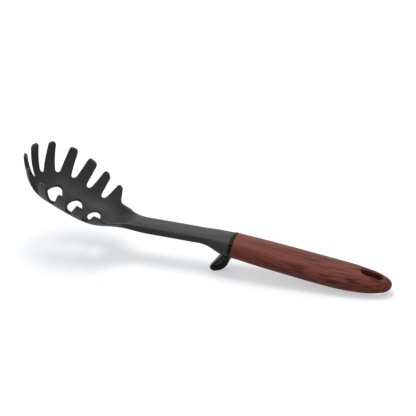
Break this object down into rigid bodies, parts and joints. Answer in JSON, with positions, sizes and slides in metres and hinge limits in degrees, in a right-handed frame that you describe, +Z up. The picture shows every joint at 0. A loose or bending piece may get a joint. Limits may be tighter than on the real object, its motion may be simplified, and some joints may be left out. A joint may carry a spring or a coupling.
{
  "type": "pasta server",
  "caption": "Nylon pasta server: tined scoop with drain holes on a long stem, black band with a rest foot, and a wood-effect handle with a hanging slot.",
  "frame": {"origin": "on the ground, half way along and half way across the tool as it rests on its foot and the belly of its handle", "axes": "+X towards the butt of the handle, +Z up, the scoop at -X opening up and forward"},
  "size_m": [0.3373, 0.079, 0.0953],
  "materials": {
    "nylon": "fine matt, dark grey",
    "black_trim": "satin black",
    "core_plastic": "unfinished, hidden",
    "wood_effect": "satin, printed red-brown wood grain"
  },
  "bodies": {
    "root": {"serving_head": "nylon", "collar_ring": "black_trim", "rest_foot": "black_trim", "handle_core": "core_plastic", "handle_skin": "wood_effect"}
  },
  "joints": []
}
